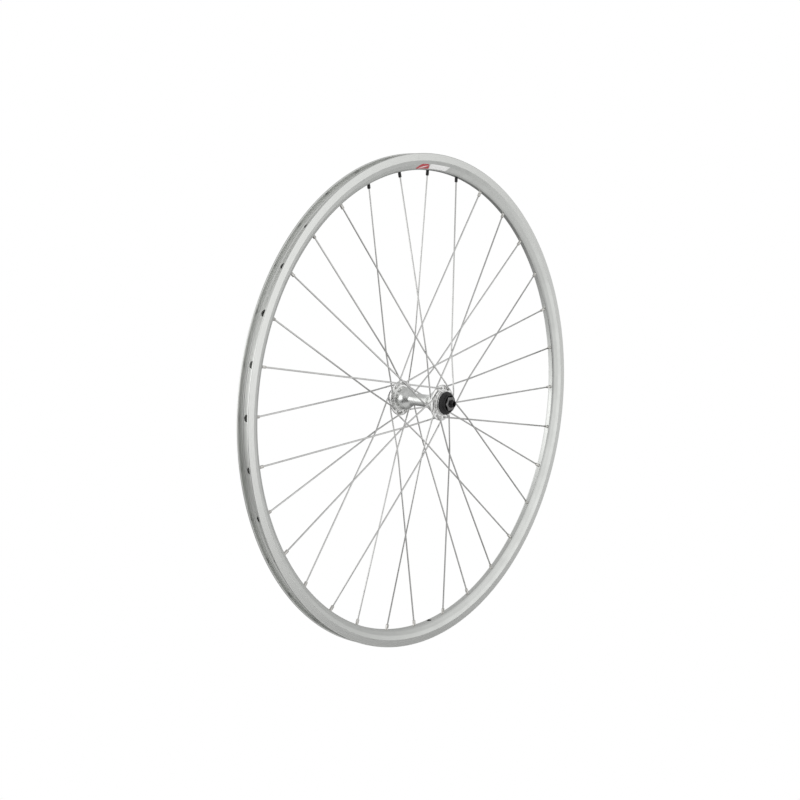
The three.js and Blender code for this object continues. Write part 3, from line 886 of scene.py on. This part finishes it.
NIPPLE_PROFILE = (
    # distance from the hub end, radius or half across flats, how square it is
    (0.0, 1.32, 0.0), (0.12, 1.5, 0.2), (0.35, 1.62, 1.0), (4.3, 1.62, 1.0), (4.75, 1.72, 0.45),
    (5.1, 1.92, 0.0), (9.0, 1.94, 0.0), (9.35, 2.1, 0.0), (9.9, 2.75, 0.0), (10.3, 2.95, 0.0),
    (10.9, 2.95, 0.0), (11.5, 2.75, 0.0), (12.0, 2.25, 0.0), (12.3, 1.5, 0.0), (12.4, 0.75, 0.0),
)


def nipple_mesh(route):
    """A nipple: square flats for the key, round shank, domed head with its screwdriver slot."""
    aim = route[2]
    start = on_last_leg(route, NIPPLE_INNER_RADIUS)
    stations = [(start + aim * d, r) for d, r, _ in NIPPLE_PROFILE]
    shapes = [square_section(flat) for _, _, flat in NIPPLE_PROFILE]
    points, faces = tube(stations, 32, section=lambda index: shapes[index])
    piece = new_object("nipple", make_mesh("nipple", points, faces))
    across = np.cross(aim, np.array((0.0, 1.0, 0.0)))
    across /= np.linalg.norm(across)
    wide = np.cross(across, aim)
    corners = [start + aim * d + across * s * 3.4 + wide * w * 0.45
               for d in (11.55, 13.2) for s in (-1, 1) for w in (-1, 1)]
    drilled(piece, [(corners, BOX_FACES)])
    mesh = piece.data
    bpy.data.objects.remove(piece)
    return mesh


BLACK_NIPPLES = (1, 2, 3, 4)


def build_spokes(wire_material, nickel, black):
    patterns = {}
    for number in range(1, SPOKES + 1):
        side, rim_angle, lead, _ = spoke_plan(number)
        turn = Matrix.Rotation(radians(-rim_angle - WHEEL_TURN), 4, "Y")
        if (side, lead) not in patterns:
            route = spoke_route(side, -WHEEL_TURN, lead, -WHEEL_TURN + lead * LACING_ANGLE)
            flange = "right" if side < 0 else "left"
            course = "leading" if lead > 0 else "trailing"
            wire = make_mesh(f"wire_{flange}_{course}", *spoke_mesh(route))
            nickel_mesh = nipple_mesh(route)
            patterns[side, lead] = (wire, nickel_mesh, nickel_mesh.copy())
        wire, nickel_mesh, black_mesh = patterns[side, lead]
        node = f"spoke_{number:02d}"
        piece = new_object(f"wire_{number:02d}", wire)
        piece.matrix_world = turn
        finish_piece(piece, "wheel", [node], [wire_material], 40, False)
        dark = number in BLACK_NIPPLES
        piece = new_object(f"nipple_{number:02d}", black_mesh if dark else nickel_mesh)
        piece.matrix_world = turn
        finish_piece(piece, "wheel", [node],
                     [black if dark else nickel], 35, False)


# ------------------------------------------------------------------ hub

hub_half = [
    (7.9, 8.5, 14, 5),
    (8.6, 14.6, 7, 7),
    (13.4, 21.2, 9, 7),
    (14.8, 25.2, 6, 6),
    (14.8, 32.5, 0.9, 5),
    (22.1, 32.5, 0.9, 5),
    (23, 33.2, 0.5, 4),
    (23, 34.7, 0.6, 4),
    (20.8, 35.5, 1.2, 4),
    (16.15, 35.5, 0.35, 4),
    (16.0, 37, 0.35, 4),
    (15.3, 37, 0.15, 2),
    (15.2, 38.4, 0.2, 3),
    (13.3, 38.4, 0.2, 3),
    (13.3, 30.3, 0.3, 2),
    (6.8, 30.3, 0.4, 2),
    (5.6, 27, 1.5, 3),
]


def build_hub(material):
    outline = filleted(mirrored(hub_half))
    points, faces = ring_of([outline], 128)
    piece = new_object("hub_barrel", make_mesh("hub_barrel", points, faces))
    holes = []
    for number in range(1, SPOKES + 1):
        side, _, _, hub_angle = spoke_plan(number)
        inner, outer = FLANGE_CENTRE - FLANGE_THICKNESS / 2, FLANGE_CENTRE + FLANGE_THICKNESS / 2
        stations = [(inner - 0.5, 2.3), (inner - 0.01, 1.95), (inner + 0.42, SPOKE_HOLE_RADIUS),
                    (outer - 0.42, SPOKE_HOLE_RADIUS), (outer + 0.01, 1.95), (outer + 0.5, 2.3)]
        holes.append(tube([(on_wheel(HOLE_CIRCLE_RADIUS, hub_angle, side * y), r) for y, r in stations], 20))
    drilled(piece, holes)
    finish_piece(piece, "wheel", ["hub_shell"], [material], 28)


def race(radius, start, end, steps):
    """Points of a ball race's arc, in (radius, along)."""
    angles = [radians(start + (end - start) * i / steps) for i in range(steps + 1)]
    return [(BALL_CIRCLE_RADIUS + radius * cos(a), BALL_PLANE + radius * sin(a)) for a in angles]


def build_bearings(steel, cap):
    race_radius = BALL_RADIUS + 0.12
    for name, side in SIDES:
        cup = [(8.9, 30.7), (12.9, 30.7), (12.9, 37.6), (12.4, 37.6)]
        cup += race(race_radius, 10, -90, 14) + [(8.9, BALL_PLANE - race_radius)]
        turned_piece(f"cup_race_{name}", [on_side(cup, side)], 96, "wheel",
                     [f"bearing_cup_{name}"], [steel])
        cover = filleted([(10.2, 38.75, 0.15, 2), (12.3, 38.75, 0.2, 2), (12.3, 37.95, 0.1, 2),
                          (12.75, 37.95, 0.1, 2), (12.75, 38.7, 0.1, 2), (15, 38.7, 0.2, 3),
                          (15, 39.8, 0.5, 5), (13.6, 40.3, 0.6, 4), (10.2, 40.3, 0.25, 3)])
        turned_piece(f"dust_cover_{name}", [on_side(cover, side)], 128, "wheel",
                     [f"dust_cap_{name}"], [cap])
        cone = filleted([(4.6, 31.9, 0.2, 2), (6.2, 31.9, 0.3, 3)]
                        + race(race_radius, 195, 100, 14)
                        + [(9.7, 37.5, 0.3, 3), (7.4, 38.8, 0.4, 3), (7.4, 42.9, 0.3, 3),
                           (4.6, 42.9, 0.2, 2)])
        points, faces = ring_of([on_side(cone, side)], 96)
        piece = new_object(f"axle_cone_{name}", make_mesh(f"axle_cone_{name}", points, faces))
        flats = []
        for flank in (-1, 1):
            corners = [(flank * x, side * y, z)
                       for x in (6.5, 12) for y in (40.5, 44) for z in (-12, 12)]
            flats.append((corners, BOX_FACES))
        drilled(piece, flats)
        finish_piece(piece, "axle_set", [f"cone_{name}"], [steel])
        build_balls(name, side, steel, cap)


def build_balls(name, side, steel, cage_material):
    work = bmesh.new()
    for i in range(BALL_COUNT):
        angle = 2 * pi * i / BALL_COUNT + radians(WHEEL_TURN)
        x, z = BALL_CIRCLE_RADIUS * cos(angle), BALL_CIRCLE_RADIUS * sin(angle)
        place = Matrix.Translation(Vector((x, side * BALL_PLANE, z)) * MM)
        bmesh.ops.create_icosphere(work, subdivisions=4, radius=BALL_RADIUS * MM, matrix=place)
    mesh = bpy.data.meshes.new(f"balls_{name}")
    work.to_mesh(mesh)
    work.free()
    piece = new_object(f"ball_set_{name}", mesh)
    finish_piece(piece, f"balls_{name}", [f"ball_ring_{name}"], [steel], 60, False)
    band = filleted([(10.9, 34.6, 0.1, 2), (12.1, 34.6, 0.1, 2), (12.1, 35.6, 0.2, 2), (11.6, 36.3, 0.2, 2),
                     (11.3, 36.3, 0.2, 2), (10.9, 35.6, 0.1, 2)])
    turned_piece(f"ball_cage_{name}", [on_side(band, side)], 96, f"balls_{name}",
                 [f"ball_ring_{name}"], [cage_material])


def threaded_axle(material):
    """The hollow axle: plain in the middle, with a rolled thread on both ends."""
    steps, per_turn = 48, 8
    half = AXLE_HALF
    start = THREAD_START
    crest, root = AXLE_RADIUS, AXLE_RADIUS - THREAD_DEPTH
    points, faces, rings = [], [], []

    def outer(y, angle):
        """The axle's radius at a place, with the thread's sixty-degree form on its ends."""
        edge = half - abs(y)
        if abs(y) < start:
            return crest
        phase = (y / THREAD_PITCH - angle / (2 * pi)) % 1.0
        form = min(1.0, max(0.0, (0.5 - abs(phase - 0.5)) * 2.5 - 0.125))
        runout = min(1.0, (abs(y) - start) / 1.5)
        return min(crest - (crest - root) * (1 - form) * runout, crest - 0.7 + edge)

    threaded = range(int((half - start) * per_turn / THREAD_PITCH) + 1)
    stations = [-half + i * THREAD_PITCH / per_turn for i in threaded]
    stations += [-20, -10, 0, 10, 20]
    stations += [start + i * THREAD_PITCH / per_turn for i in threaded]
    for y in stations:
        row = []
        for i in range(steps):
            angle = 2 * pi * i / steps
            r = outer(y, angle)
            row.append(len(points))
            points.append((r * cos(angle), y, r * sin(angle)))
        rings.append(row)
    for y, r in ((half, AXLE_BORE_RADIUS + 0.25), (half - 0.3, AXLE_BORE_RADIUS),
                 (0, AXLE_BORE_RADIUS), (-half + 0.3, AXLE_BORE_RADIUS), (-half, AXLE_BORE_RADIUS + 0.25)):
        rings.append(list(range(len(points), len(points) + steps)))
        points += [(r * cos(2 * pi * i / steps), y, r * sin(2 * pi * i / steps)) for i in range(steps)]
    for near, far in zip(rings, rings[1:] + rings[:1]):
        for i in range(steps):
            j = (i + 1) % steps
            faces.append((near[i], near[j], far[j], far[i]))
    piece = new_object("hollow_axle", make_mesh("hollow_axle", points, faces))
    finish_piece(piece, "axle_set", ["axle"], [material], 50, False)


def build_end_parts(black, grey, rubber):
    for name, side in SIDES:
        washer = filleted([(4.7, 43.1, 0.1, 2), (7, 43.1, 0.2, 2), (7, 44.6, 0.2, 2), (4.7, 44.6, 0.1, 2)])
        turned_piece(f"axle_washer_{name}", [on_side(washer, side)], 64, "axle_set",
                     [f"spacer_{name}"], [black])
        build_locknut(name, side, grey)
        boot = filleted([(10.0, 40.6, 0.2, 2), (14.7, 40.6, 0.5, 4), (14.85, 41.2, 0.4, 3),
                         (14.6, 42.5, 0.7, 5), (12.2, 43.5, 0.8, 5), (11.5, 44.3, 0.5, 4),
                         (11.25, 47.0, 0.5, 5), (10.75, 47.4, 0.25, 3), (10.15, 47.4, 0.2, 3),
                         (10.05, 44.9, 0.2, 2)])
        turned_piece(f"rubber_boot_{name}", [on_side(boot, side)], 128, "axle_set",
                     [f"seal_boot_{name}"], [rubber])


def build_locknut(name, side, material):
    """A locknut: six flats, a turned chamfer, a serrated clamping face and a plain bore."""
    back, front = 44.9, 50.0
    corner = 17 / sqrt(3)
    limit = filleted([(4.65, back, 0.2, 2), (11.5, back, 0, 1), (11.5, 47.6, 0, 1), (8.2, 49.6, 0.3, 3),
                      (7.7, front, 0.15, 2), (5.1, front, 0.15, 2), (4.65, 49.6, 0.1, 2)])
    points, faces = ring_of([on_side(limit, side)], 144)
    piece = new_object(f"lock_hex_{name}", make_mesh(f"lock_hex_{name}", points, faces))
    hexagon = [(corner * cos(radians(60 * i)), corner * sin(radians(60 * i))) for i in range(6)]
    corners = [(x, side * y, z) for y in (back - 1, front + 1) for x, z in hexagon]
    blank = (corners, [tuple(range(6)), tuple(range(6, 12))]
             + [(i, (i + 1) % 6, 6 + (i + 1) % 6, 6 + i) for i in range(6)])
    drilled(piece, [blank], "INTERSECT")
    cuts = []
    for i in range(36):
        angle = radians(10 * i)
        out = np.array((cos(angle), 0, sin(angle)))
        wide = np.array((-sin(angle), 0, cos(angle)))
        up = np.array((0, side, 0))
        section = [(-0.24, front + 0.05), (0.24, front + 0.05), (0, front - 0.22)]
        wedge = [out * r + wide * w * (1 if r > 6 else 0.7) + up * y for r in (5.3, 9.0) for w, y in section]
        cuts.append((wedge, [(0, 1, 2), (5, 4, 3), (0, 3, 4, 1), (1, 4, 5, 2), (2, 5, 3, 0)]))
    drilled(piece, cuts)
    finish_piece(piece, "axle_set", [f"locknut_{name}"], [material], 25, False)


# ------------------------------------------------------------------ stage

# The studio's soft walls and flags: where each stands, how far it reaches, and how much light
# it adds or takes away. TENT is the light between them. Most of these numbers were fitted by
# another program and some then changed: this table isn't a plain studio, and isn't an
# example to follow.
TENT = 0.50
WALLS = (
    # azimuth, height, reach in degrees, light
    (165, 16, 30, 1.10),
    (184, 8, 26, 0.70),
    (-84, 16, 60, 0.50),
    (54, -50, 60, -0.32),
    (120, 6, 40, 0.54),
    (-48, -4, 20, 0.26),
    (-12, -14, 20, 0.33),
    (-60, -4, 20, 0.24),
    (76, 6, 40, 0.40),
    (-96, -65, 60, 0.12),
    (144, -4, 20, 0.39),
    (-45, -38, 20, 0.20),
    (-141, -8, 36, -0.36),
    (-167, -26, 20, -0.45),
    (-42, -23, 13, -0.42),
    (35, -4, 22, -0.18),
)


def light_tent(tree):
    """A plain white backdrop that lights the wheel like a soft tent with walls and flags."""
    background = tree.nodes["Background"]
    place = tree.nodes.new("ShaderNodeTexCoord").outputs["Generated"]
    total = TENT
    for azimuth, height, reach, light in WALLS:
        turn, rise = radians(azimuth), radians(height)
        direction = (cos(rise) * cos(turn), cos(rise) * sin(turn), sin(rise))
        dot = tree.nodes.new("ShaderNodeVectorMath")
        dot.operation = "DOT_PRODUCT"
        tree.links.new(place, dot.inputs[0])
        dot.inputs[1].default_value = direction
        step = tree.nodes.new("ShaderNodeMapRange")
        step.interpolation_type = "SMOOTHSTEP"
        tree.links.new(dot.outputs["Value"], step.inputs[0])
        edge, middle = cos(radians(reach)), cos(radians(0.15 * reach))
        for socket, number in zip(list(step.inputs)[1:5], (edge, middle, 0.0, light)):
            socket.default_value = number
        add = tree.nodes.new("ShaderNodeMath")
        if isinstance(total, float):
            add.inputs[0].default_value = total
        else:
            tree.links.new(total, add.inputs[0])
        tree.links.new(step.outputs[0], add.inputs[1])
        total = add.outputs[0]
    lit = tree.nodes.new("ShaderNodeMath")
    lit.operation = "MAXIMUM"
    tree.links.new(total, lit.inputs[0])
    lit.inputs[1].default_value = 0
    path = tree.nodes.new("ShaderNodeLightPath")
    seen = tree.nodes.new("ShaderNodeMix")
    tree.links.new(path.outputs["Is Camera Ray"], seen.inputs[0])
    tree.links.new(lit.outputs[0], seen.inputs[2])
    seen.inputs[3].default_value = 1
    tree.links.new(seen.outputs[0], background.inputs["Strength"])
    background.inputs["Color"].default_value = (1, 1, 1, 1)


FLOOR_RADIUS = 40000
FLOOR_GAP = 0.2
KEY_PLACE = (-1.6, -3.2, 3.2)    # metres
KEY_SIZE = 3.4
KEY_POWER = 60


def build_stage():
    scene = bpy.context.scene
    low = cad_box[0][2]
    count = 96
    height = low / MM - FLOOR_GAP
    turns = [2 * pi * i / count for i in range(count)]
    points = [(FLOOR_RADIUS * cos(turn), FLOOR_RADIUS * sin(turn), height) for turn in turns]
    floor = new_object("studio_floor", make_mesh("studio_floor", points, [tuple(range(count))]))
    floor.data.materials.append(floor_paper())
    floor.visible_glossy = False

    world = bpy.data.worlds.new("studio")
    world.use_nodes = True
    scene.world = world
    light_tent(world.node_tree)

    data = bpy.data.lights.new("key_light", "AREA")
    data.shape = "RECTANGLE"
    data.size = KEY_SIZE
    data.size_y = KEY_SIZE
    data.energy = KEY_POWER
    light = bpy.data.objects.new("key_light", data)
    scene.collection.objects.link(light)
    look = (-Vector(KEY_PLACE)).to_track_quat("-Z", "Y").to_matrix().to_4x4()
    light.matrix_world = Matrix.Translation(KEY_PLACE) @ look
    light.visible_camera = False
    light.visible_glossy = False
    scene.view_settings.view_transform = "Standard"
    scene.view_settings.look = "None"


# ------------------------------------------------------------------ everything

make_camera()
build_stage()
satin = satin_alloy()
drawn_channel = channel_alloy()
# The fourth rim material has painted shade for the inside of the chamber.
build_rim([satin, track_alloy(), drawn_channel, painted_shade_chamber_alloy()])
build_sleeve(drawn_channel)
build_label(printed_film("label_red", (0.50, 0.045, 0.06), (0.62, 0.2, 0.2)),
            printed_film("label_pale", (0.95, 0.95, 0.94), (0.86, 0.86, 0.85)))
build_spokes(drawn_stainless(), nickel_plate(), black_oxide())
build_hub(polished_alloy())
steel = bearing_steel()
build_bearings(steel, cap_steel())
dark_steel = black_steel()
threaded_axle(dark_steel)
build_end_parts(dark_steel, locknut_steel(), moulded_rubber())
